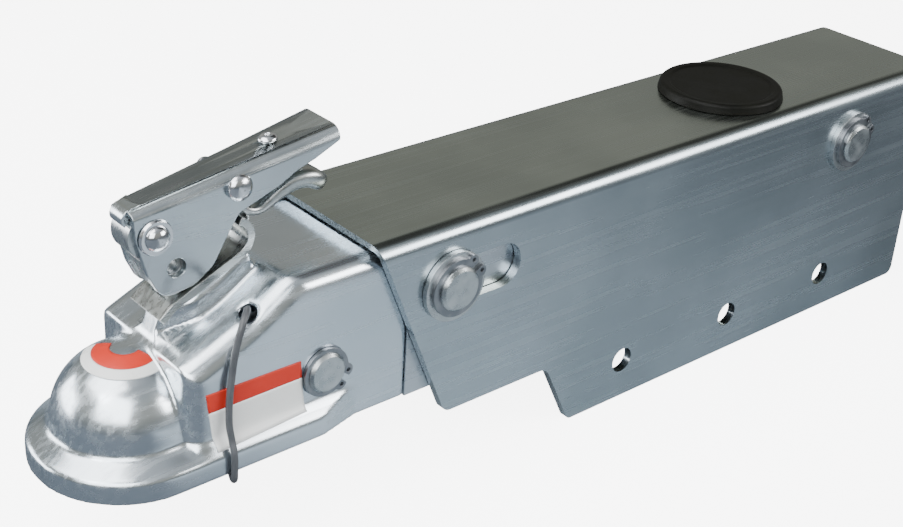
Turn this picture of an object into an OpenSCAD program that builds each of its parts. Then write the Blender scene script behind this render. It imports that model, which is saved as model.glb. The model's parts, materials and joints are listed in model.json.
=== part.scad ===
// Surge brake actuator for a trailer tongue.
// X runs back towards the trailer, Y across and Z up, and the origin is the middle tongue bolt.
// The pieces are drawn from the front edge of the case's top, and in_case() moves them from there.

/* [Outer case] */
// Outside width of the folded case
case_w = 89; // [86:0.5:96]
// Thickness of the case's steel
case_wall = 4.8; // [4.2:0.1:5.4]
// Outside radius of the case's folds
case_bend = 8; // [7:0.5:10]
// Length of the case along its top
case_len = 426; // [420:1:460]
// Height of the case behind its step
case_h = 141.5; // [138:0.5:150]
// Height of the case in front of its step
case_front_h = 102.5; // [98:0.5:106]
// How far the front edge leans back over that height
front_lean = 44; // [38:1:50]
// Distance from the step to the rear end
step_inset = 312.5; // [306:0.5:319]
// How far the step's edge leans back
step_lean = 20; // [14:1:26]

/* [Tongue bolts] */
// Distance between tongue bolts
bolt_pitch = 87; // [80:1:92]
// Diameter of the tongue bolt holes
bolt_hole = 14.3; // [12:0.1:16]
// Height of the tongue bolts above the case's lower edge
bolt_edge = 23.5; // [20:0.5:27]
// Distance from the rear tongue bolt to the rear end
bolt_rear = 80; // [74:1:90]

/* [Big pins] */
// Diameter of the front and rear pins
pin_d = 22.6; // [21:0.2:24]
// Depth of both pins below the case's top
pin_drop = 30.5; // [29.5:0.5:32]
// Distance of the front pin behind the front edge
front_pin_x = 43.5; // [41:0.5:46]
// Distance of the rear pin from the rear end
rear_pin_inset = 76; // [72:1:80]
// How far the slide moves back under braking
surge_travel = 32; // [28:1:34]
// Clearance of a pin in its slot
slot_gap = 0.4; // [0.3:0.1:0.6]
// Diameter of the pin washers
washer_d = 36; // [33:0.5:40]
// Thickness of the pin washers
washer_t = 2.8; // [2:0.1:3.2]
// Thickness of the retaining rings
ring_t = 1.8; // [1.4:0.1:2.2]
// Length of pin beyond its retaining ring
pin_end = 2.6; // [2:0.1:4]

/* [Slide] */
// Clearance between the slide and each wall of the case
slide_gap = 0.5; // [0.4:0.1:1]
// Thickness of the slide's steel
slide_wall = 4.8; // [4.2:0.1:5.2]
// Outside radius of the slide's folds
slide_bend = 8.5; // [7:0.5:10]
// Depth of the slide's top below the case's top
slide_drop = 10; // [9:0.5:10.5]
// Height of the slide where the head joins it
slide_h = 77.5; // [75:0.5:80]
// Height of the slide's rear arms
arm_h = 52; // [48:1:54]
// Length of the slide behind the rear pin
slide_tail = 24; // [20:1:28]
// Width of the window in the slide's top
window_w = 52; // [48:1:54]

/* [Coupler head] */
// Diameter of the ball that the head takes
ball_d = 58.7; // [56:0.1:60]
// Clearance round the ball
ball_gap = 0.5; // [0.3:0.1:0.8]
// Thickness of the drawn head
head_wall = 4.3; // [3.8:0.1:4.8]
// Distance of the ball's centre in front of the case
ball_reach = 105; // [102:0.5:108]
// Depth of the ball's centre below the case's top
ball_drop = 69; // [67:0.5:71]
// Distance of the shoulder's crest in front of the case
shoulder_x = 42; // [38:1:46]
// Slope of the shoulder and of the latch on it
latch_tilt = 24; // [22:0.5:26]
// Reach of the lip beyond the head's sides
lip_out = 5.8; // [4.5:0.1:7]
// Height of the lip's upright edge
lip_h = 12; // [9:0.5:14]
// Half the width of the pedestal under the latch
pedestal_half = 13; // [12:0.5:15]
// Diameter of the cable's hole in the shoulder
cable_hole = 8; // [6:0.5:10]

/* [Cross pin and push rod] */
// Diameter of the cross pin in the head
cross_d = 20; // [18:0.5:21]
// Distance of the cross pin in front of the case
cross_x = 26; // [24:0.5:28]
// Depth of the cross pin and push rod below the case's top
rod_drop = 56; // [55:0.5:57]
// Diameter of the push rod
rod_d = 12; // [10:0.5:13]

/* [Latch] */
// Distance of the handle's pivot in front of the case
pivot_x = 93.6; // [91:0.5:96]
// Height of the handle's pivot above the case's top
pivot_rise = 19; // [18:0.5:20]
// Distance from the pivot down to the keeper strap
keeper_drop = 32.8; // [32.6:0.1:34]
// Thickness of the keeper strap
keeper_t = 3.6; // [3:0.1:4]
// Width of the keeper strap
keeper_w = 24.6; // [22:0.2:26]
// Outside width of the handle
handle_w = 30; // [28:0.5:32]
// Thickness of the handle's steel
handle_t = 3; // [2.6:0.1:3.4]
// Diameter of the latch bolt and of the handle's rivet
latch_bolt_d = 12; // [10:0.5:12.5]
// Distance of the trigger's rivet in front of the case
trigger_x = 54; // [52:0.5:56]
// Height of the trigger's rivet above the case's top
trigger_rise = 33; // [31:0.5:34]
// Diameter of the trigger's rivet
trigger_rivet_d = 9; // [8:0.5:10]
// Diameter of the hole in the handle's legs
lock_hole = 9; // [7:0.5:10]

/* [Master cylinder] */
// Bore of the master cylinder
bore_d = 19.05; // [17:0.05:20]
// Outside diameter of the master cylinder
barrel_d = 32; // [29:0.5:33]
// Distance of the cylinder's mouth from the rear end
barrel_inset = 200; // [196:1:204]
// Length of the master cylinder
barrel_len = 96; // [92:1:98]
// Length of the fluid reservoir
tank_len = 72; // [64:1:76]
// Width of the fluid reservoir
tank_w = 40; // [36:1:44]
// Diameter of the reservoir's cap
filler_d = 36; // [32:1:40]
// Thickness of the shelf under the cylinder
shelf_t = 4.8; // [4:0.1:5.2]

/* [Damper] */
// Outside diameter of the damper
damper_d = 26; // [22:0.5:27]
// Distance of the damper's rear pin in front of the cylinder's mouth
damper_lead = 20; // [18:0.5:22]
// Diameter of the damper's rod
damper_rod_d = 10; // [8:0.5:11]
// Diameter of the damper's rear pin
damper_pin_d = 12; // [10:0.5:13]

/* [Access cap] */
// Diameter of the access cap's rim
cap_d = 71; // [66:0.5:74]
// Diameter of the hole that the cap plugs
cap_hole = 58; // [54:0.5:60]
// Distance of the cap from the rear end
cap_inset = 146; // [142:1:150]
// Height of the cap's crown
cap_h = 5.5; // [4:0.5:7]

/* [Breakaway cable] */
// Diameter of the cable
cable_d = 3.2; // [3:0.1:3.4]

/* [Hidden] */
$fn = 48;

zinc = [0.74, 0.77, 0.80];
dull_zinc = [0.62, 0.64, 0.60];
bright = [0.85, 0.86, 0.88];
black = [0.14, 0.14, 0.13];
iron = [0.35, 0.36, 0.37];
spring_steel = [0.45, 0.47, 0.50];

// Hair clearance between pieces that slide or lift off, and overlap of a cut past a face
hair = 0.3;
past = 1;

case_front = bolt_pitch + bolt_rear - case_len;
case_top = case_h - bolt_edge;
half_w = case_w / 2;
inner_half = half_w - case_wall;
rear_pin_x = case_len - rear_pin_inset;
step_x = case_len - step_inset;
barrel_x = case_len - barrel_inset;
barrel_end = barrel_x + barrel_len;
damper_x = barrel_x - damper_lead;
cap_x = case_len - cap_inset;

slide_half = inner_half - slide_gap;
slide_in = slide_half - slide_wall;
slide_base = slide_drop + slide_h;
slide_end = rear_pin_x + slide_tail;
head_end = 22;
head_front = shoulder_x + 55;
socket_r = ball_d / 2 + ball_gap;
dome_r = socket_r + head_wall;
lip_r = slide_half + lip_out;
lip_top = slide_base - lip_h;
lip_run = 30;
lip_end = 4;

pin_face = half_w + hair + washer_t + ring_t + pin_end;
groove = 0.75;

pivot = [-pivot_x, pivot_rise];
down = [sin(latch_tilt), -cos(latch_tilt)];
along = [cos(latch_tilt), sin(latch_tilt)];
handle_in = handle_w / 2 - handle_t;
eye_r = latch_bolt_d - 0.5;
lock_at = [-84.2, 2];
seat_drop = keeper_drop + keeper_t;
clamp_s = 74;
clamp_t = 10;
nut_t = 8;
seat_t = 2.5;
latch_drop = 7;

bracket_top = rod_drop + barrel_d / 2 + 1.5;
tank_top = 15;
port_gap = 6;
tank_x = barrel_end - port_gap - tank_len;
screw_d = 8;
screw_x = [tank_x + 8, tank_x + tank_len - 14];
screw_y = 22.5;
piston_x = barrel_x + 6;
piston_len = 28;
cup_t = 4;
bore_len = barrel_len - 10;

cable_r = cable_d / 2;
coil_in = 12.8;
coil_out = 19.2;
coil_y = [-31.6, -18];
coil_drop = coil_in - cross_d / 2 - 0.1;
lever_y = [-12, -6.5];

// The cable's route from the lever, out through the shoulder, down over the lip and back inside
cable_route = [
    [-34, -5, -26], [-34, -9.5, -26], [-34.6, -13.8, -26], [-39, -17, -26], [-47, -20, -26],
    [-54.5, -24, -25], [-60, -28.5, -20.5], [-63.5, -33, -14.5], [-67.5, -38, -13], [-71.5, -41.2, -16], [-74.5, -42, -23],
    [-76.5, -42, -32], [-78, -42, -42], [-79, -42, -52], [-79.5, -42.5, -62],
    [-79.5, -44.5, -69.5], [-80, -47.2, -75.5], [-80, -47.3, -84], [-79.6, -46.3, -89.2],
    [-78, -42.4, -91], [-76, -37.8, -89.2], [-73, -33.8, -84], [-66, -31, -80.8],
    [-56, -29, -80.3], [-46, -26, -80.2], [-38, -22.6, -79.8], [-32, -20.4, -79.4]
];

function unit(v) = v / norm(v);
function at(s, q) = pivot + s * down + q * along;
function bent(a, c, b, r, n = 6) =
    let (u = unit(a - c), v = unit(b - c), half = acos(u * v) / 2,
         m = c + unit(u + v) * r / sin(half),
         p = c + u * r / tan(half) - m, q = c + v * r / tan(half) - m,
         start = atan2(p[1], p[0]), turn = (atan2(q[1], q[0]) - start + 540) % 360 - 180)
    [for (i = [0:n]) m + r * [cos(start + turn * i / n), sin(start + turn * i / n)]];
function flat(p) = [p[0], p[1]];
// An outline whose corners each carry a radius as their third value
function rounded(p) = let (n = len(p)) [for (i = [0:n - 1]) each
    p[i][2] > 0 ? bent(flat(p[(i + n - 1) % n]), flat(p[i]), flat(p[(i + 1) % n]), p[i][2])
                : [flat(p[i])]];
function arc(c, r, a, b, n = 10) =
    [for (i = [0:n]) c + r * [cos(a + (b - a) * i / n), sin(a + (b - a) * i / n)]];
function side(p, i) = let (d = unit(p[min(i + 1, len(p) - 1)] - p[max(i - 1, 0)])) [-d[1], d[0]];
// The outline of a strip of thickness t along a centre line
function strip(p, t) = concat([for (i = [0:len(p) - 1]) p[i] + side(p, i) * t / 2],
    [for (i = [len(p) - 1:-1:0]) p[i] - side(p, i) * t / 2]);
function helix(r, pitch, turns, steps = 14) =
    [for (i = [0:turns * steps]) [r * cos(360 * i / steps), r * sin(360 * i / steps), pitch * i / steps]];
function between(p, i, t) =
    let (n = len(p) - 1, a = p[max(i - 1, 0)], b = p[i], c = p[min(i + 1, n)], d = p[min(i + 2, n)])
    0.5 * (2 * b + (c - a) * t + (2 * a - 5 * b + 4 * c - d) * t * t
    + (3 * b - a - 3 * c + d) * t * t * t);
function smooth(p, k) = [for (i = [0:len(p) - 2], j = [0:k - 1]) between(p, i, j / k), p[len(p) - 1]];

// A round tube along a path; ref is a direction that the path never takes
module tube(path, r, sides = 8, ref = [0, 0, 1]) {
    n = len(path);
    rings = [for (i = [0:n - 1]) let (d = unit(path[min(i + 1, n - 1)] - path[max(i - 1, 0)]),
        u = unit(cross(ref, d)), v = cross(d, u))
        for (j = [0:sides - 1]) path[i] + r * (cos(360 * j / sides) * u + sin(360 * j / sides) * v)];
    walls = [for (i = [0:n - 2], j = [0:sides - 1])
        let (k = (j + 1) % sides, a = i * sides, b = a + sides) each [[a + j, b + j, b + k], [a + j, b + k, a + k]]];
    ends = [[for (j = [0:sides - 1]) j], [for (j = [sides - 1:-1:0]) (n - 1) * sides + j]];
    polyhedron(rings, concat(walls, ends), convexity = 6);
}

module in_case() { translate([case_front, 0, case_top]) children(); }
module along_y(w) { rotate([90, 0, 0]) linear_extrude(height = w, center = true) children(); }
module along_x(a, b) { translate([a, 0, 0]) rotate([90, 0, 90]) linear_extrude(height = b - a) children(); }
module y_rod(d, a, b, x, z) { translate([x, a, z]) rotate([-90, 0, 0]) cylinder(d = d, h = b - a); }
module x_rod(d, a, b, z) { translate([a, 0, z]) rotate([0, 90, 0]) cylinder(d = d, h = b - a); }
module both_sides() { for (s = [-1, 1]) scale([1, s, 1]) children(); }
// Turned about an axis that leaves the latch pivot downwards
module on_latch(s) { p = at(s, 0); translate([p[0], 0, p[1]]) rotate([0, 180 - latch_tilt, 0]) children(); }
module folded(w, r, h) {
    translate([-w / 2, -h]) square([w, h - r]);
    translate([-w / 2 + r, -h]) square([w - 2 * r, h]);
    for (s = [-1, 1]) translate([s * (w / 2 - r), -r]) circle(r);
}
module slot(len, r) {
    translate([0, -r]) square([len, 2 * r]);
    for (x = [0, len]) translate([x, 0]) circle(r);
}

// Outer case
case_side = rounded([
    [0, past, 0], [case_len, past, 0], [case_len, -case_h, 5], [step_x + step_lean, -case_h, 4],
    [step_x, -case_front_h, 8], [front_lean, -case_front_h, 6], [0, 0, 0]
]);
module case_sheet() {
    difference() {
        intersection() {
            along_x(0, case_len) difference() {
                folded(case_w, case_bend, case_h);
                translate([0, -case_wall])
                    folded(case_w - 2 * case_wall, case_bend - case_wall, case_h);
            }
            along_y(case_w + 2 * past) polygon(case_side);
        }
        translate([front_pin_x, 0, -pin_drop]) along_y(case_w + 2 * past)
            slot(surge_travel + 0.5, pin_d / 2 + slot_gap);
        y_rod(pin_d + 0.2, -half_w - past, half_w + past, rear_pin_x, -pin_drop);
        for (i = [0:2])
            y_rod(bolt_hole, -half_w - past, half_w + past,
                case_len - bolt_rear - i * bolt_pitch, bolt_edge - case_h);
        translate([cap_x, 0, -case_wall - past]) cylinder(d = cap_hole, h = case_wall + 2 * past);
    }
}
// The folded sheet in three runs: its top with both folds, and a side below each fold
fold_h = case_bend + 1.5;
module case_run(y, z, w, h) {
    color(zinc) in_case() intersection() {
        case_sheet();
        translate([-past, y, z]) cube([case_len + 2 * past, w, h]);
    }
}
module outer_case() { case_run(-half_w - past, -fold_h, case_w + 2 * past, fold_h + past); }
module case_near_side() { case_run(-half_w - past, -case_h - past, half_w, case_h + past - fold_h); }
module case_far_side() { case_run(past, -case_h - past, half_w, case_h + past - fold_h); }

// Shelf and ears welded between the case's walls
module inner_bracket() {
    ear_in = damper_pin_d / 2 + 2.4;
    ear_r = damper_pin_d / 2 + 4.5;
    color(dull_zinc) in_case() difference() {
        union() {
            translate([damper_x - 21, -inner_half, -bracket_top - shelf_t])
                cube([barrel_end - damper_x + 25, 2 * inner_half, shelf_t]);
            both_sides() translate([0, ear_in + 2.4, 0]) along_y(4.8) {
                translate([damper_x - ear_r, -bracket_top]) square([2 * ear_r, bracket_top - pin_drop]);
                translate([damper_x, -pin_drop]) circle(ear_r);
            }
        }
        y_rod(damper_pin_d + 0.2, -inner_half, inner_half, damper_x, -pin_drop);
        for (x = screw_x, y = [-screw_y, screw_y])
            translate([x, y, -bracket_top - shelf_t - past]) cylinder(d = screw_d + 0.2, h = shelf_t + 2 * past);
    }
}

// Rubber plug over the filler
module access_cap() {
    rim = cap_d / 2;
    neck = cap_hole / 2 - hair;
    color(black) in_case() translate([cap_x, 0, 0]) rotate_extrude()
        polygon(concat([[0, cap_h - 1.2]], [for (i = [0:5]) [4 * i + 2, cap_h - 1.2 + 0.05 * i]],
            [[rim - 7, cap_h - 0.9]], [[rim - 5.5, cap_h - 0.2]],
            arc([rim - 3, hair + 2.9], cap_h - 2.9 - hair, 90, 0, 6), [[rim, hair]],
            [[neck, hair], [neck, -case_wall - 4], [neck - 3.2, -case_wall - 4],
             [neck - 3.2, 1.2], [0, 1.2]]));
}

// Folded inner channel
channel_side = rounded([
    [head_end, 0, 0], [slide_end, 0, 0], [slide_end, -slide_drop - arm_h, 12],
    [front_pin_x + 58, -slide_drop - arm_h, 14], [front_pin_x + 30, -slide_base, 10], [head_end, -slide_base, 0]
]);
module slide_channel() {
    window_x = cap_x - cap_hole / 2 - surge_travel - 11;
    color(zinc) in_case() difference() {
        intersection() {
            along_x(head_end, slide_end) translate([0, -slide_drop]) difference() {
                folded(2 * slide_half, slide_bend, slide_h);
                translate([0, -slide_wall])
                    folded(2 * slide_in, slide_bend - slide_wall, slide_h);
            }
            along_y(case_w) polygon(channel_side);
        }
        translate([window_x, 0, -slide_drop - slide_wall - past])
            linear_extrude(height = slide_wall + 2 * past) polygon(rounded([
                [0, -window_w / 2, 8], [rear_pin_x - window_x, -window_w / 2, 8],
                [rear_pin_x - window_x, window_w / 2, 8], [0, window_w / 2, 8]]));
        y_rod(pin_d + 0.2, -half_w, half_w, front_pin_x, -pin_drop);
        translate([rear_pin_x - surge_travel - 0.5, 0, -pin_drop]) along_y(case_w)
            slot(surge_travel + 0.5, pin_d / 2 + slot_gap);
    }
}

// Drawn coupler head; each of its forms is drawn once outside and once inside, inset by the wall
module sloped(inset, w, r, h) {
    translate([-shoulder_x, 0, -slide_drop]) rotate([0, -latch_tilt, 0])
        along_x(-90, 90) translate([0, -inset]) folded(w, r, h);
}
module head_body(inset) {
    over = inset > 0 ? past : 0;
    w = 2 * (slide_half - inset);
    intersection() {
        along_x(-head_front + inset, head_end + over) translate([0, -slide_drop - inset])
            folded(w, slide_bend - inset, slide_h - inset + over);
        sloped(inset, w + 0.2, slide_bend + 2.5 - inset, 2 * slide_h);
        translate([0, 0, -slide_base - past]) linear_extrude(height = slide_h + 2 * past) {
            translate([-head_front + inset, -w / 2 + 9 - inset]) square([head_front + head_end, w - 18 + 2 * inset]);
            translate([-head_front + 9, -w / 2]) square([head_front + head_end, w]);
            both_sides() translate([-head_front + 9, w / 2 - 9 + inset]) circle(9 - inset);
        }
    }
}
module head_dome(inset) {
    skirt = slide_base - ball_drop + (inset > 0 ? past : 0);
    r = dome_r - inset;
    translate([-ball_reach, 0, -ball_drop]) rotate_extrude($fn = 64) {
        intersection() {
            circle(r);
            square([r, r]);
        }
        translate([0, -skirt]) square([r, skirt + 0.01]);
    }
}
module head_pedestal(inset) {
    top = at(seat_drop + inset, 0);
    rise = tan(latch_tilt);
    front = -pivot_x + 3.5 + inset;
    rear = -shoulder_x - 5 - inset;
    intersection() {
        translate([top[0], 0, top[1]]) rotate([0, -latch_tilt, 0])
            along_x(-50, 60) folded(2 * (pedestal_half - inset), 4.5 - inset * 0.7, 60);
        along_y(4 * pedestal_half) polygon([
            [front - 6, -55], [front - 6, top[1] + (front - 6 - top[0]) * rise - 15],
            [front, top[1] + (front - top[0]) * rise - 2.1], [front + 7, top[1] + (front + 7 - top[0]) * rise + 0.7],
            [rear - 2, top[1] + (rear - 2 - top[0]) * rise + 1], [rear + 1, -slide_drop - 1], [rear + 1, -55]]);
    }
}
// Half of the section from a wall at radius r, flaring out to a lip at radius out
function flare(r, out, inset) =
    let (low = -slide_base - (inset > 0 ? past : 0), high = -lip_top + 9)
    concat([[0, low], [0, high], [r - inset, high]],
        arc([r - inset + 3, high - 2 - inset * 0.4], 3, 180, 245, 3),
        arc([out - inset - 2.5, -lip_top - 2.5 - inset * 0.6], 2.5, 62, 0, 3), [[out - inset, low]]);
module head_lip(inset) {
    corner = [9 - head_front, slide_half - 9];
    translate([-ball_reach, 0, 0]) rotate_extrude($fn = 64) polygon(flare(dome_r, lip_r, inset));
    both_sides() {
        along_x(-ball_reach, corner[0]) polygon(flare(dome_r, lip_r, inset));
        translate(corner) rotate_extrude() polygon(flare(9, lip_r - corner[1], inset));
    }
    intersection() {
        both_sides() along_x(corner[0], -lip_end) polygon(flare(slide_half, lip_r, inset));
        translate([0, 0, -slide_base - 2 * past]) linear_extrude(height = slide_h) polygon([
            [corner[0] - past, -lip_r + inset], [-lip_run, -lip_r + inset], [-lip_end, past - slide_half + inset],
            [-lip_end, slide_half - past - inset], [-lip_run, lip_r - inset], [corner[0] - past, lip_r - inset]]);
    }
}
module coupler_head() {
    color(zinc) in_case() difference() {
        union() {
            head_body(0);
            head_dome(0);
            head_pedestal(0);
            head_lip(0);
        }
        head_body(head_wall);
        head_dome(head_wall);
        head_pedestal(head_wall);
        head_lip(head_wall);
        y_rod(cross_d + 0.2, -half_w, half_w, -cross_x, -rod_drop);
        on_latch(seat_drop - 4) cylinder(d = latch_bolt_d + 1.5, h = 14);
        translate(cable_route[6]) rotate([0, 0, 50]) rotate([0, -52, 0]) translate([0, 0, -7])
            cylinder(d = cable_hole, h = 24);
    }
}

// Pins with a groove near each end, and their washers and retaining rings
module grooved_pin(d, reach, face) {
    rotate([90, 0, 0]) rotate_extrude() polygon([
        [0, -face], [d / 2 - 1.4, -face], [d / 2, -face + 1.4],
        [d / 2, -reach - ring_t], [d / 2 - groove, -reach - ring_t], [d / 2 - groove, -reach], [d / 2, -reach],
        [d / 2, reach], [d / 2 - groove, reach], [d / 2 - groove, reach + ring_t], [d / 2, reach + ring_t],
        [d / 2, face - 1.4], [d / 2 - 1.4, face], [0, face]]);
}
module washer_pair(inner, outer, y, t) {
    for (s = [-1, 1]) translate([0, s * (y + t / 2), 0]) rotate([90, 0, 0]) difference() {
        cylinder(d = outer, h = t, center = true);
        cylinder(d = inner, h = t + past, center = true);
    }
}
// An open ring with two eared ends
module ring_pair(d, width, y, turned) {
    ear = 3.4;
    for (s = [-1, 1]) translate([0, s * (y + ring_t / 2), 0]) rotate([90, 0, 0]) rotate([0, 0, turned])
        linear_extrude(height = ring_t, center = true) difference() {
            union() {
                circle(d / 2 + width);
                for (a = [-17, 17]) rotate(a) translate([d / 2 + width - 0.6, 0]) circle(ear);
            }
            circle(d / 2 - groove + 0.06);
            rotate(-9) square([d, d * 0.17]);
            for (a = [-17, 17]) rotate(a) translate([d / 2 + width + 0.4, 0]) circle(1.1);
        }
}
ring_reach = half_w + hair + washer_t;
module front_pin() {
    color(bright) in_case() translate([front_pin_x, 0, -pin_drop]) grooved_pin(pin_d, ring_reach, pin_face);
}
module front_washers() {
    color(zinc) in_case() translate([front_pin_x, 0, -pin_drop])
        washer_pair(pin_d + 0.3, washer_d, half_w + hair, washer_t);
}
module front_rings() {
    color(spring_steel) in_case() translate([front_pin_x, 0, -pin_drop]) ring_pair(pin_d, 3.6, ring_reach, 38);
}
module rear_pin() {
    color(bright) in_case() translate([rear_pin_x, 0, -pin_drop])
        grooved_pin(pin_d, ring_reach - hair, pin_face - hair);
}
module rear_washers() {
    color(zinc) in_case() translate([rear_pin_x, 0, -pin_drop]) washer_pair(pin_d + 0.3, washer_d, half_w, washer_t);
}
module rear_rings() {
    color(spring_steel) in_case() translate([rear_pin_x, 0, -pin_drop]) ring_pair(pin_d, 3.6, ring_reach - hair, 38);
}
module cross_pin() {
    color(bright) in_case() translate([-cross_x, 0, -rod_drop])
        grooved_pin(cross_d, slide_half, slide_half + ring_t + 1.8);
}
module cross_rings() {
    color(spring_steel) in_case() translate([-cross_x, 0, -rod_drop]) ring_pair(cross_d, 2.2, slide_half, -30);
}

// Push rod with a saddle on the cross pin and a plate that the breakaway lever can push
module push_rod() {
    saddle = cross_d / 2 + 4;
    color(bright) in_case() difference() {
        union() {
            translate([-cross_x, -5, -rod_drop - saddle]) cube([saddle + 4, 10, 2 * saddle]);
            translate([-cross_x + saddle + 4, -13, -rod_drop - 23]) cube([5, 26, 33]);
            x_rod(rod_d, -cross_x + saddle, piston_x - 2, -rod_drop);
            translate([piston_x - 2, 0, -rod_drop]) sphere(d = rod_d);
        }
        y_rod(cross_d + 0.2, -half_w, half_w, -cross_x, -rod_drop);
    }
}

// Master cylinder and what works in it
module master_cylinder() {
    top = -tank_top;
    color(iron) in_case() difference() {
        union() {
            x_rod(barrel_d, barrel_x, barrel_end, -rod_drop);
            x_rod(barrel_d + 2, barrel_x, barrel_x + 5, -rod_drop);
            translate([tank_x, 0, -rod_drop]) linear_extrude(height = rod_drop + top) polygon(rounded([
                [0, -tank_w / 2, 7], [tank_len, -tank_w / 2, 7], [tank_len, tank_w / 2, 7], [0, tank_w / 2, 7]]));
            translate([screw_x[0] - 9, -screw_y - 7, -bracket_top])
                cube([screw_x[1] - screw_x[0] + 18, 2 * screw_y + 14, 7]);
        }
        x_rod(bore_d, barrel_x - past, barrel_x + bore_len, -rod_drop);
        x_rod(8.5, barrel_x, barrel_end + past, -rod_drop);
        translate([tank_x + 3.5, 0, -rod_drop + barrel_d / 2 + 1])
            linear_extrude(height = rod_drop - barrel_d / 2 - tank_top - 5) polygon(rounded([
                [0, -tank_w / 2 + 3.5, 4], [tank_len - 7, -tank_w / 2 + 3.5, 4],
                [tank_len - 7, tank_w / 2 - 3.5, 4], [0, tank_w / 2 - 3.5, 4]]));
        translate([cap_x, 0, top - 6]) cylinder(d = filler_d - 8, h = 8);
        for (x = [14, 34]) translate([barrel_x + x, 0, -rod_drop]) cylinder(d = 3, h = barrel_d);
        for (x = screw_x, y = [-screw_y, screw_y])
            translate([x, y, -bracket_top - past]) cylinder(d = screw_d + 0.2, h = 7 + 2 * past);
    }
}
module cylinder_screws() {
    color(bright) in_case() for (x = screw_x, y = [-screw_y, screw_y]) translate([x, y, -bracket_top]) {
        translate([0, 0, -shelf_t]) cylinder(d = screw_d, h = shelf_t + 7);
        translate([0, 0, 7]) cylinder(d = screw_d * 1.6, h = 5, $fn = 6);
    }
}
module reservoir_cap() {
    color(black) in_case() translate([cap_x, 0, -tank_top]) difference() {
        union() {
            translate([0, 0, 0.1]) cylinder(d = filler_d, h = 4);
            translate([0, 0, -5]) cylinder(d = filler_d - 8.6, h = 6);
            translate([-filler_d / 2 + 4, -2, 4]) cube([filler_d - 8, 4, 2.4]);
        }
        for (i = [0:17]) rotate(20 * i) translate([filler_d / 2 + 0.5, 0, -past]) cylinder(d = 2.6, h = 6);
    }
}
module outlet_fitting() {
    end = barrel_end;
    color("goldenrod") in_case() difference() {
        union() {
            x_rod(8.3, end - 8, end + 2, -rod_drop);
            translate([end, 0, -rod_drop]) rotate([0, 90, 0]) cylinder(d = 15, h = 7, $fn = 6);
            x_rod(11.5, end + 7, end + 15, -rod_drop);
        }
        x_rod(8, end + 4, end + 16, -rod_drop);
        x_rod(3, end - 9, end + 6, -rod_drop);
    }
}
module stop_ring() {
    color(spring_steel) in_case() difference() {
        x_rod(bore_d - 0.1, barrel_x + 1.5, barrel_x + 3, -rod_drop);
        x_rod(rod_d + 1.4, barrel_x, barrel_x + 5, -rod_drop);
    }
}
module piston() {
    r = bore_d / 2 - 0.06;
    color("silver") in_case() translate([piston_x, 0, -rod_drop]) rotate([0, 90, 0]) difference() {
        rotate_extrude() polygon([[0, 0], [r, 0], [r, 5], [r - 3, 6], [r - 3, piston_len - 6],
            [r, piston_len - 5], [r, piston_len], [0, piston_len]]);
        translate([0, 0, -2]) sphere(d = rod_d + 0.4);
        translate([0, 0, -2]) cylinder(d = rod_d + 0.4, h = 2);
    }
}
module piston_cup() {
    r = bore_d / 2 - 0.08;
    color(black) in_case() translate([piston_x + piston_len, 0, -rod_drop]) rotate([0, 90, 0]) rotate_extrude()
        polygon([[0, 0], [r - 0.6, 0], [r, cup_t], [r - 2, cup_t], [r - 3, 2], [0, 2]]);
}
module return_spring() {
    seat = piston_x + piston_len + 2.1;
    end = barrel_x + bore_len - 0.1;
    wire = 1.6;
    color(spring_steel) in_case() translate([seat + wire / 2, 0, -rod_drop]) rotate([0, 90, 0])
        tube(helix(bore_d / 2 - 3.6, (end - seat - wire) / 7, 7, 12), wire / 2, 6);
}

// Damper between the front pin and the bracket
damper_front = front_pin_x + surge_travel + 23;
module damper_body() {
    eye_r = damper_pin_d / 2 + 4;
    back = damper_x - eye_r + 2;
    color(iron) in_case() difference() {
        union() {
            x_rod(damper_d, damper_front, back - 6, -pin_drop);
            x_rod(damper_d - 6, damper_front - 3, damper_front + 1, -pin_drop);
            x_rod(damper_d - 11, back - 7, back, -pin_drop);
            y_rod(2 * eye_r, -damper_pin_d / 2 - 2, damper_pin_d / 2 + 2, damper_x, -pin_drop);
        }
        x_rod(damper_d - 5, damper_front + 4, back - 9, -pin_drop);
        x_rod(damper_rod_d + 0.2, damper_front - 5, damper_front + 5, -pin_drop);
        y_rod(damper_pin_d + 0.2, -half_w, half_w, damper_x, -pin_drop);
    }
}
module damper_rod() {
    eye_d = pin_d + 7;
    color(bright) in_case() difference() {
        union() {
            y_rod(eye_d, -8, 8, front_pin_x, -pin_drop);
            x_rod(damper_rod_d, front_pin_x + pin_d / 2 + 1, damper_front + 30, -pin_drop);
            x_rod(damper_d - 5.4, damper_front + 24, damper_front + 30, -pin_drop);
        }
        y_rod(pin_d + 0.2, -half_w, half_w, front_pin_x, -pin_drop);
    }
}
module damper_pin() {
    ear_out = damper_pin_d / 2 + 7.2;
    color(bright) in_case() {
        y_rod(damper_pin_d, -ear_out - 2, ear_out + 2, damper_x, -pin_drop);
        both_sides() y_rod(damper_pin_d + 5, ear_out, ear_out + 2.5, damper_x, -pin_drop);
    }
}

// Latch
keeper_line = concat([at(keeper_drop + keeper_t / 2, -8) - 8.5 * [cos(latch_tilt + 16), sin(latch_tilt + 16)]],
    [for (q = [-8, 0, 10, 20]) at(keeper_drop + keeper_t / 2, q)],
    arc(at(keeper_drop + keeper_t / 2 - 9, 29.5), 9, latch_tilt - 90, 68, 14));
module latch_keeper() {
    color(dull_zinc) in_case() difference() {
        along_y(keeper_w) polygon(strip(keeper_line, keeper_t));
        on_latch(keeper_drop - 4) cylinder(d = latch_bolt_d + 4, h = 12);
    }
}
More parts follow.
